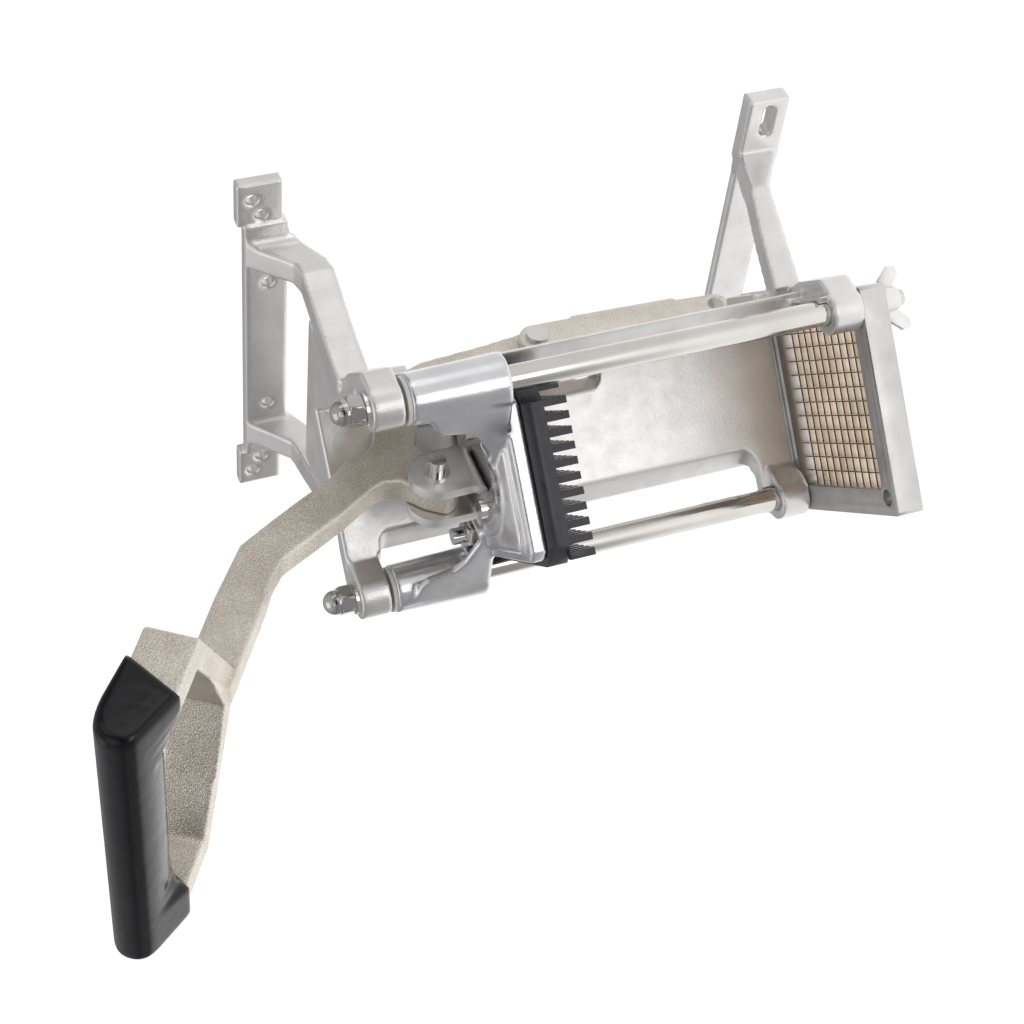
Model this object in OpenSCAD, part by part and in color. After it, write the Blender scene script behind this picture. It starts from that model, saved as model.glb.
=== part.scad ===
// Wall-mounted vegetable dicer: a V chute with a square blade grid at its foot,
// and a finger block that a swing lever drives down two guide rods.
// Origin: centre of the blade frame's upper face. +X right, +Y to the wall, +Z up the rods.

/* [Blade grid] */
// Distance from one blade to the next
cell_pitch = 7; // [6.8:0.1:7]
// Number of cells along each side of the grid
cell_count = 12; // [12]
// Thickness of one blade
blade_t = 0.5; // [0.4:0.1:0.6]
// Depth of one blade from its cutting edge
blade_depth = 6; // [5:0.5:6]
// How far the cutting edges lie below the blade frame's upper face
blade_drop = 5.2; // [5:0.1:5.4]
// Half width of the square blade frame
frame_half = 54.4; // [54.2:0.1:54.6]
// Thickness of the blade frame
frame_t = 13; // [12.8:0.1:13.2]

/* [Chute] */
// Half width of the chute, from its centre line to each panel
chute_half = 46; // [45.5:0.1:46.2]
// Thickness of the chute panels
panel_t = 7.5; // [7.3:0.1:7.6]
// Height of the chute above the blade frame
chute_h = 240.5; // [240:0.5:241]
// Depth of the front edge of the panels between the lugs
window_y = 20.5; // [20:0.5:22]
// Half width of the slot that the lever swings through
slot_half = 12.6; // [12.4:0.1:13]

/* [Guide rods] */
// Distance of each guide rod from the centre line
rod_x = 64.6; // [64.4:0.1:64.8]
// Radius of a guide rod
rod_r = 6; // [5.8:0.1:6]
// Radius of the threaded rod ends
thread_r = 4; // [3.8:0.1:4]
// Running clearance between the sleeve bushes and the rods, on the radius
slide_gap = 0.05; // [0.02:0.01:0.08]

/* [Linkage] */
// Depth of the lever's pivot in the clevis
pivot_c_y = 1; // [1]
// Height of the lever's pivot in the clevis with the lever raised
pivot_c_z = 203; // [203]
// Depth of the pivot between lever and swing link
pivot_b_y = 71.5; // [71.5]
// Height of the pivot between lever and swing link
pivot_b_z = 125.5; // [125.5]
// Depth of the swing link's lower pivot on the chute
pivot_a_y = 69.5; // [69.5]
// Height of the swing link's lower pivot on the chute
pivot_a_z = 30; // [30]
// Radius of the pivot pins
pin_r = 4; // [3.8:0.1:4]
// Thickness of the lever between its two link plates
lever_t = 13; // [12.8:0.1:13]

/* [Handle] */
// Slope of the handle above the horizontal with the lever raised
handle_slope = 33.4; // [33:0.1:34]
// Half width of the handle across its metal legs
handle_half = 73.8; // [72:0.1:74]
// Half length of the dipped grip
grip_half = 80; // [79:0.5:82]

/* [Wall brackets] */
// Distance from the centre line to the end of the upper feet
upper_foot_x = 99; // [98.5:0.5:101]
// Distance from the centre line to the end of the lower feet
lower_foot_x = 98.5; // [98:0.5:100]
// Depth of the wall face
wall_y = 122.5; // [122:0.5:123]
// Radius of the screw holes in the feet
foot_hole_r = 3; // [2.5:0.25:3.25]

/* [Hidden] */

$fn = 64;
diagonal = sqrt(2);
cast_color = [0.80, 0.80, 0.80];
shiny_color = [0.86, 0.86, 0.87];
steel_color = [0.72, 0.71, 0.69];
sand_color = [0.77, 0.72, 0.64];
black_color = [0.09, 0.09, 0.10];

// Chute
panel_out = chute_half + panel_t;
apex_in = chute_half * diagonal;
apex_out = panel_out * diagonal;
lug_r = 11;
lug_clear_y = 14;
rim_out = 5.1;
rim_back = 28;
low_lug_top = 15.5;
top_lug_low = 224.5;
top_lug_high = 239.3;
window_low = 20.3;
window_high = 222;
slot_low = 96;
slot_high = 212;
groove_low = 14;
groove_y = 61.5;
rib_half = lever_t / 2;
pad_low = 107;
pad_high = 205;
pad_t = 1.2;
link_gap = 0.5;
link_in = rib_half + link_gap;
link_t = 5;
link_out = link_in + link_t;

// Blade grid
grid_half = cell_pitch * cell_count / 2;
slot_deep = 3;
blade_half = grid_half + slot_deep;
comb_gap = 0.1;
blade_low = blade_drop + blade_depth;
keeper_w = 8;
keeper_t = frame_t - blade_low;

// Pusher
sleeve_low = 175.5;
sleeve_high = 221.5;
bush_r = 8;
head_half = 38.5;
head_low = 168;
head_high = 176;
boss_r = 21;
boss_top = 182;
web_y = 12.5;
web_t = 4;
block_half = 42;
block_cut = 53;
block_low = 158;
finger_w = 3.5;
finger_low = 146.3;
stud_x = 36;
stud_top = 192.5;
nut_low = 180;
nut_high = 186.5;
clevis_in = 7;
clevis_out = 12;
clevis_r = 13;
clevis_base_t = 3;
clevis_screw_y = 16.5;
pin_stub = 20.5;

// Handle
arm_low = 224;
arm_high = 245.6;
band_low = 226;
band_high = 247.5;
shoulder_tip = 235.2;
shoulder_out = 278.4;
shoulder_in = 283.9;
shoulder_in_tip = 248.2;
leg_in = 60.9;
bar_low = 311;
bar_high = 329;
bar_front = 232;
bar_back = 251;
vinyl_low = 303;
vinyl_high = 338;
vinyl_front = 228;
vinyl_back = 255;

// Wall brackets
rim_low = 225.5;
rim_high = 241;
web_back = 79;
flange_y = 113.6;
flange_back = 120.5;
foot_y = 115.5;
low_foot_y = 113.3;
low_flange_half = 62;
foot_w = 21.7;
upper_hole_out = [90.1, 256.2];
upper_hole_in = [80.8, 251.8];
flange_hole = [40.3, 249.2];
slot_hole = [85.3, -5.4];
slot_hole_len = 17.8;
strut_front = 33;
ear_t = 6;
ear_len = 32;
ear_screws_at = [9, 22];
upper_ear_z = [206, 226];
lower_ear_z = [8, 30];
screw_r = 3;
screw_head_r = 5;

function arc(c, r, from, to, n = 8) =
    [for (i = [0 : n]) c + r * [cos(from + (to - from) * i / n), sin(from + (to - from) * i / n)]];

function round_box(x0, x1, y0, y1, r) = concat(
    arc([x1 - r, y1 - r], r, 0, 90), arc([x0 + r, y1 - r], r, 90, 180),
    arc([x0 + r, y0 + r], r, 180, 270), arc([x1 - r, y0 + r], r, 270, 360));

// Draws its children and their mirror image on the other side of the centre plane
module both_sides() {
    children();
    mirror([1, 0, 0]) children();
}

// Turns a (y, z) outline into a slab from x0 to x1
module side_slab(x0, x1) {
    translate([x0, 0, 0]) rotate([90, 0, 90]) linear_extrude(x1 - x0) children();
}

// Turns an (x, z) outline into a slab from y0 to y1
module front_slab(y0, y1) {
    translate([0, y1, 0]) rotate([90, 0, 0]) linear_extrude(y1 - y0) children();
}

module slab(z0, z1) {
    translate([0, 0, z0]) linear_extrude(z1 - z0) children();
}

module rod_x_way(x0, x1, y, z, r) {
    translate([x0, y, z]) rotate([0, 90, 0]) cylinder(r = r, h = x1 - x0);
}

module rod_y_way(y0, y1, x, z, r) {
    translate([x, y1, z]) rotate([90, 0, 0]) cylinder(r = r, h = y1 - y0);
}

module post(x, y, z0, z1, r) {
    translate([x, y, z0]) cylinder(r = r, h = z1 - z0);
}

module hex(x, y, z0, z1, flats) {
    translate([x, y, z0]) cylinder(r = flats / sqrt(3), h = z1 - z0, $fn = 6);
}

// Draws its children in the handle's frame: x across, y out along the handle, z downward
module handle_frame() {
    rotate([180 - handle_slope, 0, 0]) children();
}

// Square prism with its diagonals along X and Y
module diamond_prism(half, z0, z1) {
    translate([0, 0, z0]) rotate([0, 0, 45]) translate([-half, -half, 0])
        cube([2 * half, 2 * half, z1 - z0]);
}

// Plan of both panels between two distances of the apex, from depth y0 back
module v_plan(inner, outer, y0) {
    polygon([[0, outer], [outer - y0, y0], [inner - y0, y0], [0, inner],
        [y0 - inner, y0], [y0 - outer, y0]]);
}

module lug_plan() {
    translate([rod_x, 0]) circle(r = lug_r);
    polygon([[rod_x + lug_r, 0], [rod_x + lug_r, 11], [60, 27], [50, strut_front],
        [apex_out - strut_front, strut_front], [apex_in - 12, 12], [rod_x - lug_r, 0]]);
}

module window_profile() {
    polygon(concat(
        [[-20, window_high], [-20, window_low]],
        arc([window_y - 10, window_low + 10], 10, 270, 360),
        arc([window_y - 4.5, window_high - 4.5], 4.5, 0, 90)));
}

module link_grooves() {
    both_sides() translate([rib_half, groove_y, groove_low])
        cube([slot_half - rib_half, 30, slot_low + 5 - groove_low]);
}

// Thicker stretch of both panels along the window, outside the chute
module window_rim() {
    intersection() {
        slab(0, top_lug_low) v_plan(apex_out - 1, apex_out + rim_out, window_y);
        translate([-90, window_y, 0]) cube([180, rim_back - window_y, top_lug_low]);
    }
}

module lever_slot() {
    front_slab(40, 90) polygon(round_box(-slot_half, slot_half, slot_low, slot_high, 5));
}

module trough() {
    color(cast_color) difference() {
        union() {
            slab(0, chute_h) v_plan(apex_in, apex_out, 0);
            slab(pad_low, pad_high) v_plan(apex_out - 1, apex_out + pad_t, window_y);
            window_rim();
            both_sides() slab(0, low_lug_top) lug_plan();
            both_sides() slab(top_lug_low, top_lug_high) lug_plan();
            rod_x_way(-rib_half, rib_half, pivot_a_y, pivot_a_z, 9.5);
        }
        side_slab(-90, 90) window_profile();
        translate([-90, -20, window_low]) cube([180, 20 + lug_clear_y, top_lug_low - window_low]);
        translate([-90, -20, top_lug_high]) cube([180, 20 + lug_clear_y, 10]);
        lever_slot();
        link_grooves();
        both_sides() post(rod_x, 0, -1, chute_h + 1, rod_r);
        rod_x_way(-20, 20, pivot_a_y, pivot_a_z, pin_r);
        trough_screw_holes(upper_ear_z);
        trough_screw_holes(lower_ear_z);
    }
}

// Draws its children at both screws of each foot ear, x pointing out of the panel
module at_ear_screws(ear_z) {
    both_sides() for (along = ear_screws_at)
        rotate([0, 0, 45]) translate([panel_out, along, (ear_z[0] + ear_z[1]) / 2]) children();
}

module trough_screw_holes(ear_z) {
    at_ear_screws(ear_z) rod_x_way(-5, 5, 0, 0, screw_r);
}

module bracket_ears(ear_z) {
    both_sides() rotate([0, 0, 45]) translate([panel_out, -4, ear_z[0]])
        cube([ear_t, ear_len, ear_z[1] - ear_z[0]]);
}

// Space taken up by the chute and its panels
module chute_space() {
    diamond_prism(panel_out, -30, 300);
}

module upper_strut() {
    intersection() {
        slab(200, 280) polygon([[38, strut_front], [50, strut_front], [54.7, 53], [66.5, 88],
            [66, 96], [65, flange_back], [52, flange_back], [53, 96], [53.5, 88], [41.7, 53]]);
        side_slab(0, 90) polygon([[20, rim_low], [88, rim_low], [96, 226], [flange_y, 236],
            [flange_back, 239.3], [flange_back, 260.3], [flange_y, 260.3], [96, 242.5],
            [88, rim_high], [20, rim_high]]);
    }
}

module upper_wall_bracket() {
    color(cast_color) difference() {
        union() {
            both_sides() upper_strut();
            slab(chute_h - 7, chute_h) polygon([[-46, web_back], [-46, 50], [-50, strut_front],
                [0, 40], [50, strut_front], [46, 50], [46, web_back]]);
            bracket_ears([upper_ear_z[0], chute_h - 1]);
            translate([-76, flange_y, 239.3]) cube([152, flange_back - flange_y, 21]);
            both_sides() translate([75, foot_y, 241.7])
                cube([upper_foot_x - 75, wall_y - foot_y, foot_w]);
        }
        chute_space();
        both_sides() rod_y_way(100, 130, upper_hole_out[0], upper_hole_out[1], foot_hole_r);
        both_sides() rod_y_way(100, 130, upper_hole_in[0], upper_hole_in[1], foot_hole_r);
        both_sides() rod_y_way(100, 130, flange_hole[0], flange_hole[1], foot_hole_r);
        at_ear_screws(upper_ear_z) rod_x_way(-1, ear_t + 1, 0, 0, screw_r);
    }
}

module lower_strut() {
    intersection() {
        slab(-30, 40) polygon([[40, strut_front], [52, strut_front], [68, 87], [66.5, flange_back],
            [53.5, flange_back], [55, 87], [44, 50]]);
        side_slab(0, 90) polygon([[20, 8.5], [strut_front, 8.5], [87, 2.4], [113, -14],
            [flange_back, -16], [flange_back, 5.7], [113, 6.6], [87, 13], [66, 17.1],
            [strut_front, 22.5], [20, 22.5]]);
    }
}

module lower_wall_bracket() {
    color(cast_color) difference() {
        union() {
            both_sides() lower_strut();
            bracket_ears(lower_ear_z);
            translate([-low_flange_half, foot_y, -16])
                cube([2 * low_flange_half, flange_back - foot_y, foot_w]);
            both_sides() translate([low_flange_half - 2, low_foot_y, -15.7])
                cube([lower_foot_x - low_flange_half + 2, wall_y - low_foot_y, foot_w]);
        }
        chute_space();
        both_sides() foot_slot();
        at_ear_screws(lower_ear_z) rod_x_way(-1, ear_t + 1, 0, 0, screw_r);
    }
}

module foot_slot() {
    half = slot_hole_len / 2 - foot_hole_r;
    for (side = [-1, 1])
        rod_y_way(100, 130, slot_hole[0] + side * half, slot_hole[1], foot_hole_r);
    translate([slot_hole[0] - half, 100, slot_hole[1] - foot_hole_r])
        cube([2 * half, 30, 2 * foot_hole_r]);
}

module bracket_screw() {
    rod_x_way(-5, ear_t, 0, 0, screw_r);
    rod_x_way(ear_t, ear_t + 4, 0, 0, screw_head_r);
}

module bracket_screws() {
    color(steel_color) {
        at_ear_screws(upper_ear_z) bracket_screw();
        at_ear_screws(lower_ear_z) bracket_screw();
    }
}

module guide_rod(x) {
    color(steel_color) {
        post(x, 0, 0, top_lug_high, rod_r);
        post(x, 0, -25, 0, thread_r);
        post(x, 0, top_lug_high, 250, thread_r);
    }
}

module guide_rod_left() {
    guide_rod(-rod_x);
}

module guide_rod_right() {
    guide_rod(rod_x);
}

module rod_washers() {
    color(steel_color) both_sides() difference() {
        post(rod_x, 0, top_lug_high, 241, 8);
        post(rod_x, 0, top_lug_high - 1, 242, thread_r);
    }
}

module acorn_nuts() {
    color(steel_color) both_sides() difference() {
        union() {
            hex(rod_x, 0, 241, 248, 13);
            translate([rod_x, 0, 249.6]) sphere(r = 6.1);
            post(rod_x, 0, 248, 249.6, 6.1);
        }
        post(rod_x, 0, 240, 250, thread_r);
    }
}

module wing() {
    rotate([90, 0, 0]) translate([0, 0, -1.2]) linear_extrude(2.4)
        polygon([[5, -15], [5, -21], [11, -26], [15, -25.5], [15.5, -21.5], [10, -15.5]]);
}

module wing_nut(x, turn) {
    color(steel_color) translate([x, 0, 0]) rotate([0, 0, turn]) difference() {
        union() {
            translate([0, 0, -22]) cylinder(r1 = 5.8, r2 = 7, h = 22 - frame_t - 0.3);
            wing();
            mirror([1, 0, 0]) wing();
        }
        post(0, 0, -30, 0, thread_r + slide_gap);
    }
}

module wing_nut_left() {
    wing_nut(-rod_x, -20);
}

module wing_nut_right() {
    wing_nut(rod_x, 57);
}

// Draws its children at the inner end of every blade slot on one side of the grid
module at_blades() {
    for (k = [1 : cell_count - 1])
        translate([(k - cell_count / 2) * cell_pitch, 0, 0]) children();
}

module blade_slots() {
    at_blades() for (turn = [0, 180]) rotate([0, 0, turn])
        translate([-blade_t / 2, grid_half - 0.5, -frame_t - 1])
            cube([blade_t, slot_deep + 0.5, frame_t + 1 - blade_drop]);
}

module blade_frame() {
    color(cast_color) rotate([0, 0, 45]) difference() {
        slab(-frame_t, 0) polygon(round_box(-frame_half, frame_half, -frame_half, frame_half, 2));
        slab(-frame_t - 1, 1) polygon(round_box(-grid_half, grid_half, -grid_half, grid_half, 3));
        blade_slots();
        rotate([0, 0, 90]) blade_slots();
        for (turn = [0 : 90 : 270]) rotate([0, 0, turn]) {
            rotate([0, 0, 45]) post(rod_x, 0, -frame_t - 1, 1, thread_r + 0.1);
            keeper_space();
            at_keeper_screws() post(0, 0, -frame_t - 1, -5, 1.5);
        }
    }
}

module keeper_space() {
    translate([-grid_half + 4, grid_half, -frame_t - 1])
        cube([2 * grid_half - 8, keeper_w, keeper_t + 1]);
}

module at_keeper_screws() {
    for (side = [-1, 1])
        translate([side * 31.5, grid_half + 5.2, 0]) children();
}

// One comb-cut blade in its own plane: notches open toward the other set
module blade_outline(notch_from_edge) {
    half_depth = blade_depth / 2;
    notch = blade_t / 2 + comb_gap;
    teeth = [for (k = [1 : cell_count - 1]) (k - cell_count / 2) * cell_pitch];
    comb = [for (x = teeth) each [[x - notch, 0], [x - notch, half_depth],
        [x + notch, half_depth], [x + notch, 0]]];
    outline = concat([[-blade_half, 0]], comb, [[blade_half, 0], [blade_half, blade_depth],
        [-blade_half, blade_depth]]);
    if (notch_from_edge)
        translate([0, -blade_drop]) mirror([0, 1]) polygon(outline);
    else
        translate([0, -blade_low]) polygon(outline);
}

module blade_set(notch_from_edge) {
    for (k = [1 : cell_count - 1])
        translate([0, (k - cell_count / 2) * cell_pitch, 0])
            front_slab(-blade_t / 2, blade_t / 2) blade_outline(notch_from_edge);
}

module blades_across() {
    color(steel_color) rotate([0, 0, 45]) blade_set(true);
}

module blades_down() {
    color(steel_color) rotate([0, 0, 135]) blade_set(false);
}

module blade_keepers() {
    color(steel_color) rotate([0, 0, 45]) for (turn = [0 : 90 : 270]) rotate([0, 0, turn])
        difference() {
            translate([-grid_half + 4, grid_half, -frame_t])
                cube([2 * grid_half - 8, keeper_w, keeper_t]);
            at_keeper_screws() post(0, 0, -frame_t - 1, 0, 1.5);
        }
}

module keeper_screws() {
    color(steel_color) rotate([0, 0, 45]) for (turn = [0 : 90 : 270]) rotate([0, 0, turn])
        at_keeper_screws() {
            post(0, 0, -frame_t, -5, 1.5);
            post(0, 0, -frame_t - 1.2, -frame_t, 2.8);
        }
}

module link_anchor_pin() {
    color(steel_color) rod_x_way(-rib_half, rib_half, pivot_a_y, pivot_a_z, pin_r);
}

module yoke_web() {
    front_slab(-web_y, web_t - web_y) polygon([[20, head_high], [20, boss_top], [31, 183.5],
        [43, 190], [47, 195], [50, 208], [54, 211.5], [60.5, 213.5], [rod_x, sleeve_high],
        [rod_x, sleeve_low], [50, sleeve_low]]);
}

module yoke_rib(x, top) {
    translate([x - 1.5, -web_y + 1, sleeve_low]) cube([3, 2 * web_y - 3, top - sleeve_low]);
}

module pusher_head() {
    color(shiny_color) difference() {
        union() {
            intersection() {
                diamond_prism(head_half, head_low, head_high);
                cube([2 * 51.5, 2 * 51.5, 500], center = true);
            }
            post(0, 0, head_high, boss_top, boss_r);
            both_sides() {
                translate([rod_x, 0, sleeve_low])
                    cylinder(r1 = 13, r2 = 11.8, h = sleeve_high - sleeve_low);
                yoke_web();
                translate([20, -web_y, head_high - 1]) cube([rod_x - 20, 2 * web_y, 4.5]);
                yoke_rib(26, 184);
                yoke_rib(47, 186);
                post(stud_x, 0, head_high, nut_low, 8);
            }
        }
        both_sides() {
            post(rod_x, 0, 100, 300, bush_r);
            post(stud_x, 0, 100, 300, thread_r + 0.1);
        }
        for (side = [-1, 1])
            post(0, side * clevis_screw_y, head_high, 300, 2.5);
    }
}

module sleeve_bushes() {
    color([0.9, 0.9, 0.88]) both_sides() difference() {
        union() {
            post(rod_x, 0, sleeve_low, sleeve_high, bush_r);
            post(rod_x, 0, sleeve_high, sleeve_high + 1.8, 11);
        }
        post(rod_x, 0, 100, 300, rod_r + slide_gap);
    }
}

// The two corners beside the guide rods carry no finger
function side_corner(i, j) = abs(i - j) == cell_count - 1;

module pusher_block() {
    color(black_color) difference() {
        union() {
            intersection() {
                diamond_prism(block_half, block_low, head_low);
                cube([2 * block_cut, 2 * block_cut, 500], center = true);
            }
            rotate([0, 0, 45]) for (i = [0 : cell_count - 1], j = [0 : cell_count - 1])
                if (!side_corner(i, j))
                    translate([(i + 0.5) * cell_pitch - grid_half - finger_w / 2,
                        (j + 0.5) * cell_pitch - grid_half - finger_w / 2, finger_low])
                        cube([finger_w, finger_w, block_low - finger_low + 0.5]);
        }
        both_sides() post(stud_x, 0, 164, 300, thread_r + 0.1);
    }
}

module block_studs() {
    color(steel_color) both_sides() post(stud_x, 0, 164, stud_top, thread_r);
}

module block_nuts() {
    color(steel_color) both_sides() difference() {
        hex(stud_x, 0, nut_low, nut_high, 13);
        post(stud_x, 0, 100, 300, thread_r);
    }
}

module clevis() {
    color([0.55, 0.55, 0.56]) difference() {
        union() {
            translate([-clevis_out, -22, boss_top]) cube([2 * clevis_out, 44, clevis_base_t]);
            both_sides() {
                rod_x_way(clevis_in, clevis_out, pivot_c_y, pivot_c_z, clevis_r);
                side_slab(clevis_in, clevis_out) polygon([[-14, boss_top], [14, boss_top],
                    [pivot_c_y + clevis_r, pivot_c_z], [pivot_c_y - clevis_r, pivot_c_z]]);
            }
        }
        rod_x_way(-20, 20, pivot_c_y, pivot_c_z, pin_r);
        for (side = [-1, 1])
            post(0, side * clevis_screw_y, 180, 190, 2.5);
    }
}

module clevis_screws() {
    color(steel_color) for (side = [-1, 1]) {
        post(0, side * clevis_screw_y, head_high, boss_top + clevis_base_t, 2.5);
        post(0, side * clevis_screw_y, boss_top + clevis_base_t, boss_top + clevis_base_t + 3, 4.5);
    }
}

module clevis_pin() {
    color(steel_color) {
        rod_x_way(-clevis_out, pin_stub, pivot_c_y, pivot_c_z, pin_r);
        rod_x_way(-clevis_out - 3, -clevis_out, pivot_c_y, pivot_c_z, 6);
    }
}

module clevis_pin_clip() {
    color(steel_color) difference() {
        rod_x_way(clevis_out, clevis_out + 1.2, pivot_c_y, pivot_c_z, 6.2);
        rod_x_way(10, 20, pivot_c_y, pivot_c_z, pin_r);
    }
}

function along(out, up) =
    [up * sin(handle_slope) - out * cos(handle_slope),
        out * sin(handle_slope) + up * cos(handle_slope)];

module lever_outline() {
    polygon(concat(
        arc([pivot_c_y, pivot_c_z], 11.8, 190, 330),
        [[24.4, 205], [37, 199.4]],
        arc([45.5, 184], 13, 55, 0, 4),
        arc([pivot_b_y, pivot_b_z], 11, 180, 385),
        [[78.6, 152], [76, 184]],
        [[71.7, 196], [62, 206], [50, 214.5]],
        arc([42, 238.8], 18.2, 262, 178, 6),
        [[16.8, 248.3], [7.8, 265.8], [-0.7, 281.5], [-10.8, 299.2]],
        [along(206, arm_high), along(250, arm_high), along(250, arm_low), along(200, arm_low)],
        [[-33, 291], [-24, 283.5], [-6.5, 250], [4.5, 232], [6.5, 226], [5, 218.7], [-5, 209.5]]));
}

module handle_band() {
    handle_frame() {
        translate([0, 0, -band_high]) linear_extrude(band_high - band_low) difference() {
            polygon([[0, shoulder_tip], [handle_half, shoulder_out], [handle_half, bar_high],
                [-handle_half, bar_high], [-handle_half, shoulder_out]]);
            polygon([[0, shoulder_in_tip], [leg_in, shoulder_in], [leg_in, bar_high],
                [-leg_in, bar_high], [-leg_in, shoulder_in]]);
        }
        translate([-handle_half, bar_low, -bar_back])
            cube([2 * handle_half, bar_high - bar_low, bar_back - bar_front]);
    }
}

module lever() {
    color(sand_color) difference() {
        union() {
            side_slab(-rib_half, rib_half) lever_outline();
            handle_band();
        }
        rod_x_way(-20, 20, pivot_c_y, pivot_c_z, pin_r + 1.5);
        rod_x_way(-20, 20, pivot_b_y, pivot_b_z, pin_r + 1.5);
    }
}

module lever_bush(y, z) {
    difference() {
        rod_x_way(-rib_half, rib_half, y, z, pin_r + 1.5);
        rod_x_way(-20, 20, y, z, pin_r + slide_gap);
    }
}

module lever_bushes() {
    color([0.70, 0.58, 0.35]) {
        lever_bush(pivot_c_y, pivot_c_z);
        lever_bush(pivot_b_y, pivot_b_z);
    }
}

module grip() {
    color(black_color) difference() {
        handle_frame() {
            side_slab(-grip_half, grip_half)
                polygon(round_box(vinyl_low, vinyl_high, -vinyl_back, -vinyl_front, 11));
            both_sides() side_slab(leg_in - 3, handle_half + 2.5)
                polygon(round_box(297, 330, -band_high - 2, -band_low + 2, 2));
        }
        handle_band();
    }
}

module swing_link() {
    difference() {
        union() {
            for (end = [[pivot_a_y, pivot_a_z, 7.5], [pivot_b_y, pivot_b_z, 9]])
                rod_x_way(link_in, link_out, end[0], end[1], end[2]);
            side_slab(link_in, link_out) polygon([[pivot_a_y - 7.5, pivot_a_z],
                [pivot_a_y + 7.5, pivot_a_z], [pivot_b_y + 8, pivot_b_z - 20], [pivot_b_y + 9, pivot_b_z],
                [pivot_b_y - 9, pivot_b_z], [pivot_b_y - 8, pivot_b_z - 20]]);
        }
        rod_x_way(-20, 20, pivot_a_y, pivot_a_z, pin_r);
        rod_x_way(-20, 20, pivot_b_y, pivot_b_z, pin_r);
    }
}

module swing_link_left() {
    color(sand_color) mirror([1, 0, 0]) swing_link();
}

module swing_link_right() {
    color(sand_color) swing_link();
}

module link_pin() {
    color(steel_color) {
        rod_x_way(-link_out, link_out, pivot_b_y, pivot_b_z, pin_r);
        both_sides() rod_x_way(link_out, link_out + 2.5, pivot_b_y, pivot_b_z, 5.5);
    }
}

module link_pin_ends() {
    color(steel_color) both_sides() rod_x_way(link_in, link_out, pivot_a_y, pivot_a_z, pin_r);
}

trough();
upper_wall_bracket();
lower_wall_bracket();
bracket_screws();
guide_rod_left();
guide_rod_right();
rod_washers();
acorn_nuts();
wing_nut_left();
wing_nut_right();
blade_frame();
blades_across();
blades_down();
blade_keepers();
keeper_screws();
link_anchor_pin();
pusher_head();
sleeve_bushes();
pusher_block();
block_studs();
block_nuts();
clevis();
clevis_screws();
clevis_pin();
clevis_pin_clip();
lever();
lever_bushes();
grip();
swing_link_left();
swing_link_right();
link_pin();
link_pin_ends();
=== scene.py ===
"""Looks for the wall-mounted vegetable dicer: rounded castings, turned hardware, materials, studio.

Lengths are in millimetres and angles in degrees, unless a comment says otherwise.
"""
import math

import bmesh
import bpy
from mathutils import Matrix, Vector


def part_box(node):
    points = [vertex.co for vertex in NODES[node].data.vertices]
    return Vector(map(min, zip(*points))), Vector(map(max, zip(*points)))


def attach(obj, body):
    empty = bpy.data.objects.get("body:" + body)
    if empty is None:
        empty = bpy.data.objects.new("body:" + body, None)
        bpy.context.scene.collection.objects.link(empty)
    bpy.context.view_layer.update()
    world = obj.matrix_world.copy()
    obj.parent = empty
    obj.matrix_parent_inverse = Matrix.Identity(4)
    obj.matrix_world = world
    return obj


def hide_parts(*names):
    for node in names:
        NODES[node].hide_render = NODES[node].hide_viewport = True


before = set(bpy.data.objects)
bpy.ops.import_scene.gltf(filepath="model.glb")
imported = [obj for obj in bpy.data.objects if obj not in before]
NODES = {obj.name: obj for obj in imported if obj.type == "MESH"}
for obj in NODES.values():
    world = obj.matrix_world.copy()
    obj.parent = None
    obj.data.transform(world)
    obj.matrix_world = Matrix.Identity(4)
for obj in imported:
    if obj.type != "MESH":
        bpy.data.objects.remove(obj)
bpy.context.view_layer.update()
MM = 0.001


# ---------------------------------------------------------------- sizes read from the frame

def centre(node):
    """Middle of a CAD node's box, in metres."""
    low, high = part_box(node)
    return (low + high) / 2


ROD_X = centre("guide_rod_right").x
PIVOT_C = centre("clevis_pin_clip")
PIVOT_B = centre("link_pin")
PIVOT_A = centre("link_anchor_pin")


# ---------------------------------------------------------------- sizes of the visible shapes

WELD = 0.005    # CAD corners closer than this are one corner

# remesh grid and number of smoothing passes of each casting
CHUTE_GRID = (0.96, 5)
HEAD_GRID = (0.75, 14)
LEVER_GRID = (0.9, 12)
VINYL_GRID = (1.2, 8)

# the handle's own frame: across it, out along it and up off it
HANDLE_SLOPE = 33.4    # above the horizontal
GRIP_HALF = 79.5    # half the length of the vinyl
GRIP_OUT = (303, 337.5)
GRIP_UP = (230.2, 252.6)
GRIP_CORE = (316, 240)    # a point inside the bar: out, up
GRIP_DEPTH = 14    # from that point to the surface
GRIP_SQUARENESS = 2.35    # 2 is an ellipse, and more is squarer
DIP_LINE = ((309, 223.8), (295, 250.4))    # where the vinyl ends on a leg: out, up
# the vinyl between the bar and the legs: across, and both ends of its edge
GUSSETS = {
    -1: ((44, GRIP_CORE, GRIP_CORE), (52, (311.5, 228), (301, 250)), (57.5, *DIP_LINE)),
    1: ((48, GRIP_CORE, GRIP_CORE), (57.5, (310.8, 227.2), (298, 250)),
        (64, (309.8, 225.2), (295.5, 250.2)), (70, *DIP_LINE)),
}
GRIP_ENDS = ((3, 0), (1, 0.8), (0, 2.2))    # distance from the end, and how far it is drawn in
BAR_CUT = 309    # where the casting may end inside the vinyl
LOOP_FROM = 200    # the loop lies further out than this
REAR_FACE_FROM = 247    # and its rear face further up than this
BAND_UP = (225, 249.3)    # both faces of the handle's loop
LOOP_TIP = 248.2    # where the loop's opening starts on the arm's line
SHOULDER_RISE = 0.586    # slope of the loop's shoulders
LOOP_FILLET_REACH = ((1, 40), (-1, 36))    # side, and how far the fillet runs along its shoulder
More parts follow.
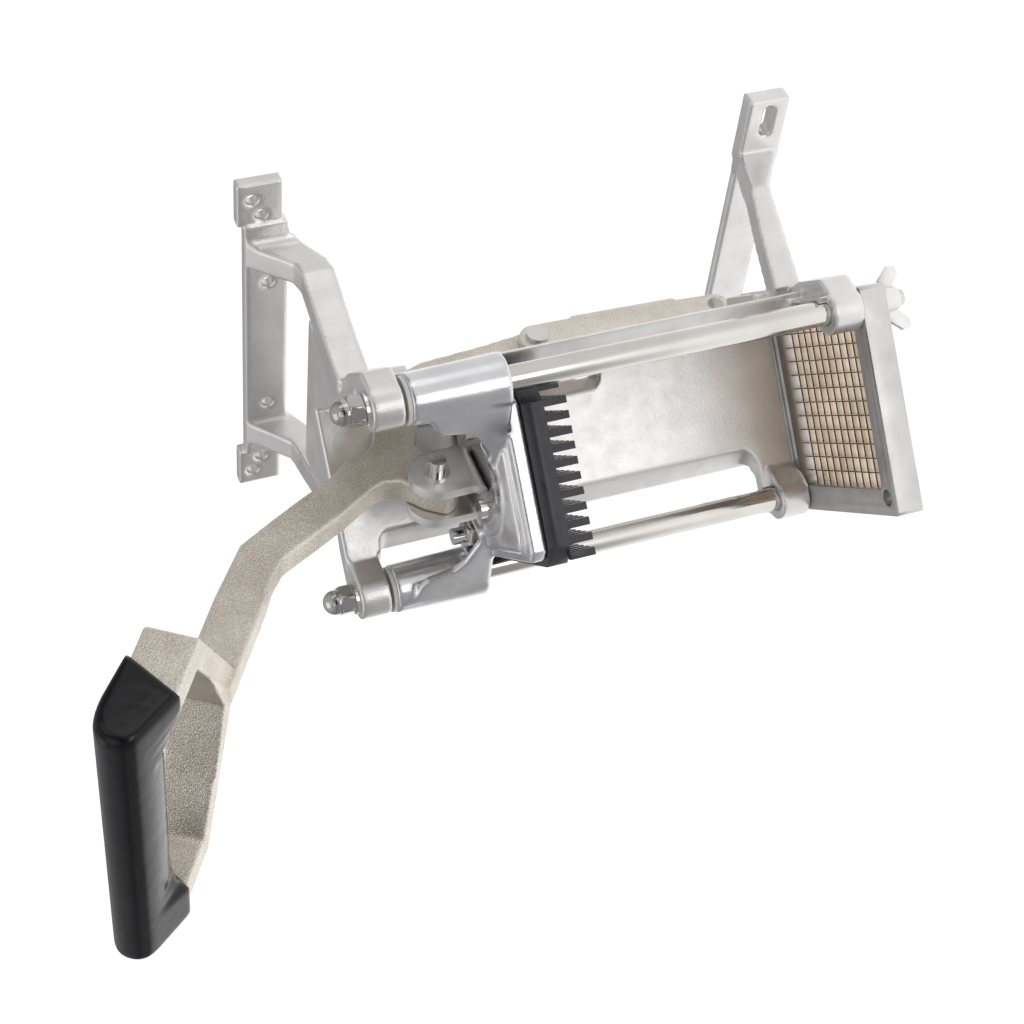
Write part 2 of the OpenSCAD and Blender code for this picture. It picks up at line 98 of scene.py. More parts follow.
LOOP_FILLET_START = 2    # how far it starts inside the arm
LOOP_FILLET_MIDDLE = 7    # its height on the arm's line
LOOP_FILLET_KNEE = (14, 12.2)

# fillets between the upper bracket's struts and its flange
STRUT_CORNER = (64.8, 114.0)    # across, back
STRUT_FILLET_CENTRE = (70.6, 108.4)
STRUT_FILLET_R = 5.2
STRUT_BEND_Y = 96    # the struts rise from here on
STRUT_LOW = (226.4, 0.568)    # height of the lower face at the bend, and its slope
STRUT_HIGH = (242.2, 1.011)
FLANGE_TOP = 260

EAR_FACE = 59.5    # from the centre line to the outer face of the bracket ears, across the panel
EAR_HEAD_PROUD = 0.5    # how far the screws' heads stand off the ears

# raised body of the pusher head: depth under the clevis, squareness, half the width
HEAD_STATIONS = ((9, 1.0, 34.5), (4.2, 1.0, 33.8), (3.2, 0.9, 32.6), (2.6, 0.45, 30.0),
                 (1.9, 0.0, 27.6), (0.9, 0.0, 26.6), (0.8, 0.0, 22.0), (0.05, 0.0, 21.2))
HEAD_CORNER = 44.5    # where the corners of the square are cut off

LINK_LOW_R = 7.5    # round end at the lower pivot
LINK_HIGH_R = 9
LINK_UNDER_PINS = 0.2    # how far the pins' ends stand off the plate
# raised strip: distance behind the pivot, and height
LINK_STRIP_LOW = ((8.6, 48), (10.4, 49.5))
LINK_STRIP_HIGH = ((9.9, 104), (8.6, 105.6))

NUT_FLATS = 13
ACORN_HEX_H = 7
ACORN_DOME_R = 6.1
ACORN_TIP_R = 0.3
STUD_R = 4


# ---------------------------------------------------------------- mesh helpers

def new_object(name, bm):
    """Turns a bmesh into a linked object."""
    mesh = bpy.data.meshes.new(name)
    bm.to_mesh(mesh)
    bm.free()
    piece = bpy.data.objects.new(name, mesh)
    bpy.context.scene.collection.objects.link(piece)
    return piece


def baked(piece):
    """Applies every modifier of a piece to its mesh."""
    graph = bpy.context.evaluated_depsgraph_get()
    mesh = bpy.data.meshes.new_from_object(piece.evaluated_get(graph))
    piece.modifiers.clear()
    piece.data = mesh
    return piece


def shade(piece, angle):
    """Smooth shading, with edges sharper than angle kept crisp."""
    mesh = piece.data
    mesh.polygons.foreach_set("use_smooth", [True] * len(mesh.polygons))
    bm = bmesh.new()
    bm.from_mesh(mesh)
    for edge in bm.edges:
        if len(edge.link_faces) == 2:
            edge.smooth = edge.calc_face_angle(0) < math.radians(angle)
    bm.to_mesh(mesh)
    bm.free()
    return piece


def dress(piece, body, material, slot, *nodes):
    """Gives a piece its material and body, and hides the CAD nodes that it stands for."""
    piece.data.materials.clear()
    piece.data.materials.append(material)
    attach(piece, body)
    if nodes:
        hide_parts(*nodes)


def cad_copy(name, *nodes):
    """A new mesh with the shape of one or more CAD nodes, its split corners welded."""
    bm = bmesh.new()
    for node in nodes:
        bm.from_mesh(NODES[node].data)
    bmesh.ops.remove_doubles(bm, verts=bm.verts, dist=WELD * MM)
    return new_object(name, bm)


def joined(name, *pieces):
    """One object with the meshes of several."""
    bm = bmesh.new()
    for piece in pieces:
        bm.from_mesh(piece.data)
        bpy.data.objects.remove(piece)
    return new_object(name, bm)


def rounded(piece, voxel, passes):
    """Rounds every edge and fills every inner corner, as a casting has them."""
    grid = piece.modifiers.new("grid", "REMESH")
    grid.mode = "VOXEL"
    grid.voxel_size = voxel * MM
    soft = piece.modifiers.new("soft", "SMOOTH")
    soft.factor = 0.5
    soft.iterations = passes
    baked(piece)
    piece.data.polygons.foreach_set("use_smooth", [True] * len(piece.data.polygons))
    return piece


def bevelled(piece, width, segments, angle=30):
    """Breaks the edges of a machined piece that are sharper than angle."""
    edge = piece.modifiers.new("edge", "BEVEL")
    edge.width = width * MM
    edge.segments = segments
    edge.limit_method = "ANGLE"
    edge.angle_limit = math.radians(angle)
    baked(piece)
    return shade(piece, 40)


def loft(name, rings):
    """Skins a list of equal rings of points and closes both ends."""
    bm = bmesh.new()
    rows = [[bm.verts.new(point) for point in ring] for ring in rings]
    count = len(rows[0])
    for low, high in zip(rows, rows[1:]):
        for i in range(count):
            bm.faces.new((low[i], low[(i + 1) % count], high[(i + 1) % count], high[i]))
    bm.faces.new(rows[0])
    bm.faces.new(rows[-1][::-1])
    bmesh.ops.recalc_face_normals(bm, faces=bm.faces)
    return new_object(name, bm)


def hull(points):
    """The convex body round a list of points."""
    bm = bmesh.new()
    for point in points:
        bm.verts.new(point)
    result = bmesh.ops.convex_hull(bm, input=bm.verts)
    bmesh.ops.delete(bm, geom=result["geom_interior"], context="VERTS")
    return new_object("hull", bm)


def arc(middle, radius, angles):
    """Points of a circle round middle, in a plane."""
    return [(middle[0] + radius * math.cos(math.radians(angle)),
             middle[1] + radius * math.sin(math.radians(angle))) for angle in angles]


def handle_point(across, out, up):
    """A point of the handle's own frame: out along the handle, up off it."""
    slope = math.radians(HANDLE_SLOPE)
    return Vector((across, up * math.sin(slope) - out * math.cos(slope),
                   out * math.sin(slope) + up * math.cos(slope))) * MM


# ---------------------------------------------------------------- materials

class Graph:
    """A small helper around one material's node tree."""

    def __init__(self, name):
        self.material = bpy.data.materials.new(name)
        self.material.use_nodes = True
        self.tree = self.material.node_tree
        self.shader = self.tree.nodes["Principled BSDF"]
        self.place = self.tree.nodes.new("ShaderNodeTexCoord").outputs["Object"]

    def node(self, kind, **settings):
        """A new shader node with some of its settings changed."""
        node = self.tree.nodes.new("ShaderNode" + kind)
        for key, value in settings.items():
            setattr(node, key, value)
        return node

    def link(self, source, target):
        """Joins two sockets."""
        self.tree.links.new(source, target)

    def noise(self, size_mm, detail, roughness=0.55, stretch=(1, 1, 1)):
        """Noise whose cells are about size_mm across; stretch lengthens it along an axis."""
        scale = self.node("Mapping")
        scale.inputs["Scale"].default_value = [1 / (size_mm * MM * s) for s in stretch]
        self.link(self.place, scale.inputs["Vector"])
        node = self.node("TexNoise")
        node.inputs["Scale"].default_value = 1.0
        node.inputs["Detail"].default_value = detail
        node.inputs["Roughness"].default_value = roughness
        self.link(scale.outputs["Vector"], node.inputs["Vector"])
        return node.outputs["Fac"]

    def ramp(self, source, low, high, low_at=0.3, high_at=0.7):
        """Maps a value to a colour or a grey between low and high."""
        node = self.node("ValToRGB")
        for element, at, value in zip(node.color_ramp.elements, (low_at, high_at), (low, high)):
            element.position = at
            element.color = value if hasattr(value, "__len__") else (value, value, value, 1)
        self.link(source, node.inputs["Fac"])
        return node.outputs["Color"]

    def bump(self, height, depth_mm, under=None):
        """The normal of a surface roughened by a height, on top of another normal."""
        node = self.node("Bump")
        node.inputs["Distance"].default_value = depth_mm * MM
        node.inputs["Strength"].default_value = 1.0
        self.link(height, node.inputs["Height"])
        if under is not None:
            self.link(under, node.inputs["Normal"])
        return node.outputs["Normal"]

    def blend(self, factor, first, second):
        """A mix of a linked colour and a fixed one."""
        node = self.node("Mix", data_type="RGBA")
        self.link(factor, node.inputs[0])
        self.link(first, node.inputs[6])
        node.inputs[7].default_value = second
        return node.outputs[2]

    def metallic(self):
        """Makes the shader a metal."""
        self.shader.inputs["Metallic"].default_value = 1.0

    def feed(self, socket, source):
        """Links a source to one of the shader's sockets."""
        self.link(source, self.shader.inputs[socket])


def rgba(r, g, b):
    """An opaque colour."""
    return (r, g, b, 1.0)


def metal(name, low, high, rough, grain_mm, grain_depth, swell_mm=9.0, swell_depth=0.0):
    """Metal with patchy colour, patchy roughness and a grain in its surface."""
    patch_mm = 18.0
    g = Graph(name)
    g.metallic()
    g.feed("Base Color", g.ramp(g.noise(patch_mm, 4), low, high))
    g.feed("Roughness", g.ramp(g.noise(patch_mm * 0.4, 5), rough[0], rough[1]))
    normal = None
    if swell_depth:
        normal = g.bump(g.noise(swell_mm, 2), swell_depth)
    g.feed("Normal", g.bump(g.noise(grain_mm, 3, 0.6), grain_depth, normal))
    return g.material


def satin_cast():
    """Blasted aluminium of the chute and brackets."""
    return metal("satin_cast", rgba(0.745, 0.73, 0.715), rgba(0.835, 0.82, 0.805), (0.30, 0.40),
                 0.9, 0.09)


def bright_cast():
    """Tumbled aluminium of the pusher head."""
    return metal("bright_cast", rgba(0.72, 0.72, 0.73), rgba(0.82, 0.82, 0.83), (0.19, 0.27),
                 0.9, 0.06, 7.0, 0.05)


def sand_cast():
    """Warm nickel-toned grainy casting of the lever and its links, with a painted highlight along
    its edges.
    """
    g = Graph("sand_cast")
    g.metallic()
    patches = g.ramp(g.noise(18, 4), rgba(0.80, 0.715, 0.61), rgba(0.97, 0.90, 0.80))
    speck = g.ramp(g.noise(0.7, 2, 0.7), 0.74, 1.0, 0.38, 0.62)
    grainy = g.node("Mix", data_type="RGBA", blend_type="MULTIPLY")
    grainy.inputs[0].default_value = 1.0
    g.link(patches, grainy.inputs[6])
    g.link(speck, grainy.inputs[7])
    # painted highlight: the base colour turns a light cream along sharp edges, where they would
    # catch the light
    painted_edge_highlight = g.ramp(g.node("NewGeometry").outputs["Pointiness"], 0.0, 1.0, 0.51, 0.55)
    g.feed("Base Color", g.blend(painted_edge_highlight, grainy.outputs[2], rgba(0.96, 0.92, 0.85)))
    g.feed("Roughness", g.ramp(g.noise(7, 5), 0.28, 0.42))
    swell = g.bump(g.noise(8, 2), 0.16)
    g.feed("Normal", g.bump(g.noise(0.7, 2, 0.65), 0.6, swell))
    return g.material


def polished_steel():
    """Guide rods, polished along their length."""
    g = Graph("polished_steel")
    g.metallic()
    g.feed("Base Color", g.ramp(g.noise(30, 2), rgba(0.66, 0.63, 0.59), rgba(0.74, 0.72, 0.69)))
    g.feed("Roughness", g.ramp(g.noise(1.0, 4, stretch=(1, 1, 14)), 0.07, 0.15))
    return g.material


def chrome():
    """Bright pins, screws and washers."""
    return metal("chrome", rgba(0.72, 0.71, 0.70), rgba(0.84, 0.83, 0.82), (0.05, 0.10), 0.6, 0.01)


def plated():
    """Darker plating of the acorn nuts."""
    return metal("plated", rgba(0.44, 0.43, 0.42), rgba(0.60, 0.59, 0.57), (0.05, 0.10), 0.6, 0.01)


def brushed_plate():
    """Blade frame, brushed in one direction."""
    g = Graph("brushed_plate")
    g.metallic()
    g.feed("Base Color", g.ramp(g.noise(16, 4), rgba(0.56, 0.545, 0.53), rgba(0.68, 0.665, 0.65)))
    scratch = g.noise(0.25, 3, 0.6, stretch=(1, 60, 1))
    g.feed("Roughness", g.ramp(scratch, 0.28, 0.42))
    g.feed("Normal", g.bump(scratch, 0.02))
    return g.material


def blade_steel():
    """Warm ground steel, with painted shade along the cutting edges that face up the chute."""
    g = Graph("blade_steel")
    g.metallic()
    faces = g.ramp(g.noise(14, 3), rgba(0.62, 0.54, 0.45), rgba(0.82, 0.74, 0.65))
    split = g.node("SeparateXYZ")
    g.link(g.node("TexCoord").outputs["Generated"], split.inputs[0])
    # painted shade: above nine tenths of the blades' height the base colour is nearly black, where
    # the cutting edges fall into shade
    edge = g.ramp(split.outputs["Z"], 0.0, 1.0, 0.90, 0.925)
    g.feed("Base Color", g.blend(edge, faces, rgba(0.07, 0.05, 0.04)))
    g.feed("Roughness", g.ramp(g.noise(3, 3), 0.16, 0.30))
    return g.material


def clevis_steel():
    """Satin steel of the clevis, the wing nuts and the brackets' screws."""
    return metal("clevis_steel", rgba(0.78, 0.77, 0.76), rgba(0.88, 0.87, 0.86), (0.32, 0.42),
                 0.9, 0.04)


def black_vinyl():
    """Glossy dipped vinyl."""
    g = Graph("black_vinyl")
    g.feed("Base Color", g.ramp(g.noise(12, 2), rgba(0.003, 0.003, 0.004),
                                rgba(0.005, 0.005, 0.007)))
    g.feed("Roughness", g.ramp(g.noise(6, 3), 0.10, 0.20))
    g.shader.inputs["IOR"].default_value = 1.36
    g.feed("Normal", g.bump(g.noise(14, 2), 0.35))
    return g.material


def black_block():
    """Moulded plastic of the finger block."""
    g = Graph("black_block")
    g.feed("Base Color", g.ramp(g.noise(8, 3), rgba(0.026, 0.025, 0.029),
                                rgba(0.042, 0.041, 0.046)))
    g.feed("Roughness", g.ramp(g.noise(2, 3), 0.24, 0.36))
    g.feed("Normal", g.bump(g.noise(0.6, 3), 0.03))
    return g.material


def bush_white():
    """Pale plastic of the sleeves' bushes."""
    g = Graph("bush_white")
    g.feed("Base Color", g.ramp(g.noise(6, 3), rgba(0.62, 0.60, 0.57), rgba(0.74, 0.72, 0.69)))
    g.feed("Roughness", g.ramp(g.noise(1.5, 3), 0.30, 0.42))
    return g.material


def bronze():
    """Sintered bushes of the lever."""
    return metal("bronze", rgba(0.50, 0.36, 0.18), rgba(0.66, 0.50, 0.28), (0.28, 0.40), 0.5, 0.03)


SATIN = satin_cast()
BRIGHT = bright_cast()
SAND = sand_cast()
STEEL = polished_steel()
CHROME = chrome()
PLATED = plated()
PLATE = brushed_plate()
BLADE = blade_steel()
CLEVIS = clevis_steel()
VINYL = black_vinyl()
BLOCK = black_block()
BUSH = bush_white()
BRONZE = bronze()


# ---------------------------------------------------------------- castings

def cut_bar(piece):
    """Removes the bar of the handle, which lies out of sight inside the vinyl."""
    bm = bmesh.new()
    bm.from_mesh(piece.data)
    everything = bm.verts[:] + bm.edges[:] + bm.faces[:]
    outward = handle_point(0, 1, 0) - handle_point(0, 0, 0)
    bmesh.ops.bisect_plane(bm, geom=everything, plane_co=handle_point(0, BAR_CUT, 0),
                           plane_no=outward, clear_outer=True)
    bmesh.ops.holes_fill(bm, edges=[edge for edge in bm.edges if edge.is_boundary])
    bm.to_mesh(piece.data)
    bm.free()


def thicken_loop(piece):
    """Moves the rear face of the handle's loop out to where it meets the vinyl."""
    origin = handle_point(0, 0, 0)
    out_way = (handle_point(0, 1, 0) - origin) / MM
    up_way = (handle_point(0, 0, 1) - origin) / MM
    for vert in piece.data.vertices:
        out, up = vert.co.dot(out_way), vert.co.dot(up_way)
        if up > REAR_FACE_FROM * MM and out > LOOP_FROM * MM:
            vert.co += up_way * (BAND_UP[1] * MM - up)


def loop_fillet():
    """Fills the inner corner of the handle's loop, where the arm runs into its two shoulders."""
    halves = []
    for side, reach in LOOP_FILLET_REACH:
        corner = ((0, LOOP_TIP - LOOP_FILLET_START), (0, LOOP_TIP + LOOP_FILLET_MIDDLE),
                  (side * LOOP_FILLET_KNEE[0], LOOP_TIP + LOOP_FILLET_KNEE[1]),
                  (side * reach, LOOP_TIP + SHOULDER_RISE * reach))
        halves.append(hull([handle_point(across, out, up)
                            for across, out in corner for up in BAND_UP]))
    return joined("loop_fillet", *halves)


def strut_heights(y):
    """Heights of the lower and the upper face of the upper bracket's struts."""
    past = y - STRUT_BEND_Y
    return (STRUT_LOW[0] + past * STRUT_LOW[1],
            min(STRUT_HIGH[0] + past * STRUT_HIGH[1], FLANGE_TOP))


def strut_fillets():
    """Fills the inner corners where the upper bracket's struts run into its wall feet."""
    wedges = []
    for side in (1, -1):
        curve = arc(STRUT_FILLET_CENTRE, STRUT_FILLET_R, range(180, 89, -15))
        for start, end in zip(curve, curve[1:]):
            wedges.append(hull([Vector((side * x, y, z)) * MM
                                for x, y in (start, end, STRUT_CORNER) for z in strut_heights(y)]))
    return joined("strut_fillets", *wedges)


def head_dome():
    """Raised body between the round boss and the square plate of the pusher head."""
    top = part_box("clevis")[0].z / MM
    count = 64
    loops = []
    for depth, square, reach in HEAD_STATIONS:
        loop = []
        for i in range(count):
            angle = 2 * math.pi * (i + 0.5) / count
            diamond = reach * math.sqrt(2) / (abs(math.cos(angle)) + abs(math.sin(angle)))
            far = square * min(diamond, HEAD_CORNER) + (1 - square) * reach
            loop.append(Vector((far * math.cos(angle), far * math.sin(angle), top - depth)) * MM)
        loops.append(loop)
    return loft("dome", loops)


def castings():
    """The rounded castings, made from the CAD solids."""
    chute = ("trough", "upper_wall_bracket", "lower_wall_bracket")
    body = joined("chute_casting", cad_copy("chute", "link_anchor_pin", *chute), strut_fillets())
    dress(rounded(body, *CHUTE_GRID), "frame", SATIN, "cast_aluminium", *chute)
    head = joined("pusher_head_casting", cad_copy("head", "pusher_head"), head_dome())
    dress(rounded(head, *HEAD_GRID), "pusher", BRIGHT, "polished_aluminium", "pusher_head")
    lever = cad_copy("lever_body", "lever")
    cut_bar(lever)
    thicken_loop(lever)
    lever = joined("lever_casting", lever, loop_fillet())
    dress(rounded(lever, *LEVER_GRID), "handle", SAND, "sand_cast", "lever")


def link_plate(side):
    """Cast link with a raised strip along its rear edge."""
    low_x, high_x = (abs(corner.x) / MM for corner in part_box("swing_link_right"))
    high_x -= LINK_UNDER_PINS
    a, b = PIVOT_A / MM, PIVOT_B / MM
    outline = arc((a.y, a.z), LINK_LOW_R, range(180, 361, 15))
    outline += [(a.y + back, z) for back, z in LINK_STRIP_LOW]
    outline += [(b.y + back, z) for back, z in LINK_STRIP_HIGH]
    outline += arc((b.y, b.z), LINK_HIGH_R, range(0, 181, 15))
    bm = bmesh.new()
    near, far = ([bm.verts.new(Vector((side * x, y, z)) * MM) for y, z in outline]
                 for x in (low_x, high_x))
    for i in range(len(outline)):
        j = (i + 1) % len(outline)
        bm.faces.new((near[i], near[j], far[j], far[i]))
    bm.faces.new(near)
    bm.faces.new(far)
    bmesh.ops.recalc_face_normals(bm, faces=bm.faces)
    return bevelled(new_object("swing_link_casting", bm), 0.9, 3, 40)


# ---------------------------------------------------------------- vinyl grip

def bar_section():
    """Soft-cornered section of the vinyl round the bar, in the handle's side view."""
    count = 32
    out_mid, up_mid = sum(GRIP_OUT) / 2, sum(GRIP_UP) / 2
    out_half, up_half = (GRIP_OUT[1] - GRIP_OUT[0]) / 2, (GRIP_UP[1] - GRIP_UP[0]) / 2
    points = []
    for i in range(count):
        angle = 2 * math.pi * i / count
        x, y = math.cos(angle), math.sin(angle)
        reach = (abs(x) ** GRIP_SQUARENESS + abs(y) ** GRIP_SQUARENESS) ** (-1 / GRIP_SQUARENESS)
        points.append((out_mid + out_half * reach * x, up_mid + up_half * reach * y))
    return points


def grip_section(across, low, high, inset):
    """Points of the vinyl's side view; low and high are the two ends of its edge on the leg."""
    keep = 1 - inset / GRIP_DEPTH
    middle_out, middle_up = GRIP_CORE
    return [handle_point(across, middle_out + (out - middle_out) * keep,
                         middle_up + (up - middle_up) * keep)
            for out, up in bar_section() + [low, high]]


def grip():
    """Dipped vinyl round the handle's bar, running up the two legs to a slanting dip line."""
    shells = []
    for side, gusset in GUSSETS.items():
        stations = [(0, GRIP_CORE, GRIP_CORE, 0)]
        stations += [(*station, 0) for station in gusset]
        stations += [(GRIP_HALF - back, *DIP_LINE, inset) for back, inset in GRIP_ENDS]
        sections = [grip_section(side * across, low, high, inset)
                    for across, low, high, inset in stations]
        shells += [hull(near + far) for near, far in zip(sections, sections[1:])]
    return rounded(joined("grip_vinyl", *shells), *VINYL_GRID)


# ---------------------------------------------------------------- hardware

def turned(name, x, y, rings):
    """A turned or hexagonal piece on a vertical axis; rings are (height, radius, hex flats or 0)."""
    count = 72
    loops = []
    for height, radius, flats in rings:
        loop = []
        for i in range(count):
            angle = 2 * math.pi * i / count
            reach = radius
            if flats:
                sector = (angle + math.pi / 6) % (math.pi / 3) - math.pi / 6
                reach = min(radius, flats / 2 / math.cos(sector))
            place = Vector((x + reach * math.cos(angle), y + reach * math.sin(angle), height))
            loop.append(place * MM)
        loops.append(loop)
    return loft(name, loops)


def hex_rings(low, high):
    """Rings of a nut whose corners are chamfered."""
    face = NUT_FLATS / 2
    chamfer = ((0, face + 0.1), (0.35, face + 0.5), (0.8, NUT_FLATS / math.sqrt(3)))
    return ([(low + inward, radius, NUT_FLATS) for inward, radius in chamfer]
            + [(high - inward, radius, NUT_FLATS) for inward, radius in reversed(chamfer)])


def acorn_nuts():
    """The two domed nuts at the top of the rods."""
    low, high = (corner.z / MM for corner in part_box("acorn_nuts"))
    spring = high - ACORN_DOME_R
    rings = hex_rings(low, low + ACORN_HEX_H)
    rings += [(low + ACORN_HEX_H, ACORN_DOME_R, 0), (spring, ACORN_DOME_R, 0)]
    rings += [(height, radius, 0)
              for radius, height in arc((0, spring), ACORN_DOME_R, range(10, 90, 10))]
    rings.append((high, ACORN_TIP_R, 0))
    pair = [turned("nut", side * ROD_X / MM, 0, rings) for side in (-1, 1)]
    return shade(joined("acorn_nuts_finished", *pair), 28)


def block_nuts():
    """The two nuts that hold the finger block to the pusher head."""
    low, high = (corner.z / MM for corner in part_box("block_nuts"))
    middle = centre("block_studs").x / MM
    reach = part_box("block_studs")[1].x / MM - STUD_R
    pair = [turned("nut", middle + side * reach, 0, hex_rings(low, high)) for side in (-1, 1)]
    return shade(joined("block_nuts_finished", *pair), 28)


def ear_screws():
    """Low flush heads of the screws that hold the brackets to the chute."""
    piece = cad_copy("bracket_screws_finished", "bracket_screws")
    slope = math.sqrt(0.5)
    for vert in piece.data.vertices:
        side = 1 if vert.co.x > 0 else -1
        out = (vert.co.x * side + vert.co.y) * slope / MM
        if out > EAR_FACE + EAR_HEAD_PROUD:
            spare = (out - EAR_FACE - EAR_HEAD_PROUD) * MM * slope
            vert.co.x -= side * spare
            vert.co.y -= spare
    return bevelled(piece, 0.4, 2)


def clevis():
    """Steel strap bent to a U, with round ends."""
    arm_x = 9.5
    bend = 4.8
    thick = 5.0
    foot_half = 12.0
    bend_half = 12.5
    end_r = 13.0
    columns = 8
    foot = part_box("clevis")[0].z / MM + thick / 2
    top = PIVOT_C.z / MM
    middle = PIVOT_C.y / MM
    path = [(0.0, foot, foot_half), (arm_x - bend, foot, bend_half)]
    for i in range(1, 7):
        turn = math.radians(15 * i)
        path.append((arm_x - bend + bend * math.sin(turn), foot + bend * (1 - math.cos(turn)),
                     end_r))
    path.append((arm_x, top, end_r))
    for i in range(1, 13):
        turn = math.radians(7.4 * i)    # stops short of a right angle, where the width would be 0
        path.append((arm_x, top + end_r * math.sin(turn), end_r * math.cos(turn)))
    path = [(-x, z, half) for x, z, half in reversed(path[1:])] + path
    bm = bmesh.new()
    rows = [[bm.verts.new(Vector((x, middle + half * (2 * c / columns - 1), z)) * MM)
             for c in range(columns + 1)] for x, z, half in path]
    for a, b in zip(rows, rows[1:]):
        for c in range(columns):
            bm.faces.new((a[c], a[c + 1], b[c + 1], b[c]))
    piece = new_object("clevis_strap", bm)
    skin = piece.modifiers.new("skin", "SOLIDIFY")
    skin.thickness = thick * MM
    skin.offset = 0
    baked(piece)
    return bevelled(piece, 0.9, 3, 50)


def machined():
    """CAD nodes whose shape is right and which only need broken edges."""
    for name, width, body, material, slot in (
            ("pusher_block", 0.3, "pusher", BLOCK, "block_plastic"),
            ("blade_frame", 0.5, "frame", PLATE, "cast_aluminium"),
            ("wing_nut_left", 0.5, "wing_left", CLEVIS, "stainless"),
            ("wing_nut_right", 0.5, "wing_right", CLEVIS, "stainless")):
        piece = bevelled(cad_copy(name + "_finished", name), width, 2)
        dress(piece, body, material, slot, name)


def kept_nodes():
    """CAD nodes that stay as they are, with a finished material."""
    for material, names in (
            (STEEL, ("guide_rod_left", "guide_rod_right")),
            (CHROME, ("rod_washers", "clevis_screws", "clevis_pin", "clevis_pin_clip",
                      "block_studs", "keeper_screws", "link_pin", "link_pin_ends",
                      "link_anchor_pin")),
            (BLADE, ("blades_across", "blades_down", "blade_keepers")),
            (BUSH, ("sleeve_bushes",)),
            (BRONZE, ("lever_bushes",))):
        for name in names:
            mesh = NODES[name].data
            mesh.materials.clear()
            mesh.materials.append(material)


castings()
dress(grip(), "handle", VINYL, "vinyl", "grip")
dress(clevis(), "pusher", CLEVIS, "clevis_steel", "clevis")
dress(acorn_nuts(), "frame", PLATED, "stainless", "acorn_nuts")
dress(block_nuts(), "pusher", CHROME, "stainless", "block_nuts")
dress(ear_screws(), "frame", CLEVIS, "stainless", "bracket_screws")
dress(link_plate(-1), "swing_link", SAND, "sand_cast", "swing_link_left")
dress(link_plate(1), "swing_link", SAND, "sand_cast", "swing_link_right")
machined()
kept_nodes()


# ---------------------------------------------------------------- studio, in metres

LENS_MM = 73.85
SENSOR_MM = 36.0
CAMERA_PLACE = (0.71575, -0.59645, 0.46364)
CAMERA_TURN = (51.259, 17.525, -102.917)    # azimuth, elevation, roll
CAMERA_REACH = 50

LIGHT_AIM = (0, 0, 0.15)
LOW_AIM = (0, 0, 0.10)
# name, place, target, size, watts
LIGHTS = (("key", (0.9, -1.1, 1.2), LIGHT_AIM, (1.2, 1.2), 2.2),
          ("side", (1.6, 0.5, 0.4), LIGHT_AIM, (0.8, 1.4), 2.0),
          ("top", (-0.2, -0.2, 1.6), LIGHT_AIM, (1.0, 1.0), 2.0),
          ("low", (0.75, -0.95, -0.16), LOW_AIM, (0.7, 0.35), 1.4))

FLOOR_HALF = 40
FLOOR_Z = -0.25
FLOOR_GREY = 0.25
FLOOR_GLOW = 0.93
# direction in which the floor grows darker, where that starts and ends, and what is left of it
FLOOR_FADES = (((-0.30, -0.95), 0.62, 1.20, 0.22), ((0.90, 0.43), 0.25, 0.90, 0.66))
SKY_LEVELS = (0.22, 0.60)    # brightness at the horizon and high up
SKY_HEIGHTS = (0.0, 0.75)
SKY_BLUE = 1.02    # blue against the other two colours
ROOM_WAY = (0.72, -0.66, 0.22)    # middle of the dark patch in the sky
ROOM_SPREAD = (10, 26)    # degrees from that middle at which the patch starts and stops fading
ROOM_LEVEL = 0.15


def look(azimuth, elevation, roll):
    """Rotation of a camera that looks from azimuth and elevation, then turns about its view axis."""
    a, e = math.radians(azimuth), math.radians(elevation)
    back = Vector((math.sin(a) * math.cos(e), -math.cos(a) * math.cos(e), math.sin(e)))
    right = Vector((math.cos(a), math.sin(a), 0))
    up = back.cross(right)
    basis = Matrix((right, up, back)).transposed()
    return basis @ Matrix.Rotation(math.radians(roll), 3, "Z")


def add_camera():
    """The camera of the main view."""
    lens = bpy.data.cameras.new("camera")
    lens.lens = LENS_MM
    lens.sensor_width = SENSOR_MM
    lens.clip_end = CAMERA_REACH
    camera = bpy.data.objects.new("camera", lens)
    camera.matrix_world = Matrix.Translation(CAMERA_PLACE) @ look(*CAMERA_TURN).to_4x4()
    bpy.context.scene.collection.objects.link(camera)
    bpy.context.scene.camera = camera


def area_light(name, place, target, size, power):
    """A rectangular lamp that faces its target."""
    lamp = bpy.data.lights.new(name, "AREA")
    lamp.shape = "RECTANGLE"
    lamp.size, lamp.size_y = size
    lamp.energy = power
    light = bpy.data.objects.new(name, lamp)
    turn = (Vector(place) - Vector(target)).to_track_quat("Z", "Y").to_matrix()
    light.matrix_world = Matrix.Translation(place) @ turn.to_4x4()
    bpy.context.scene.collection.objects.link(light)


def fading(node, start, stop, left):
    """Sets a map range that falls from 1 at start to left at stop."""
    node.interpolation_type = "SMOOTHSTEP"
    for socket, value in zip(("From Min", "From Max", "To Min", "To Max"), (start, stop, 1.0, left)):
        node.inputs[socket].default_value = value


def floor_glow(g):
    """Brightness of the pale floor: full behind the object, and dimmer in front and to the side."""
    level = None
    for way, start, stop, left in FLOOR_FADES:
        along = g.node("VectorMath", operation="DOT_PRODUCT")
        along.inputs[1].default_value = (way[0], way[1], 0)
        g.link(g.place, along.inputs[0])
        fade = g.node("MapRange")
        fading(fade, start, stop, left)
        g.link(along.outputs["Value"], fade.inputs["Value"])
        factor = g.node("Math", operation="MULTIPLY")
        factor.inputs[1].default_value = FLOOR_GLOW
        g.link(fade.outputs["Result"], factor.inputs[0])
        if level is not None:
            g.link(level, factor.inputs[1])
        level = factor.outputs[0]
    return level


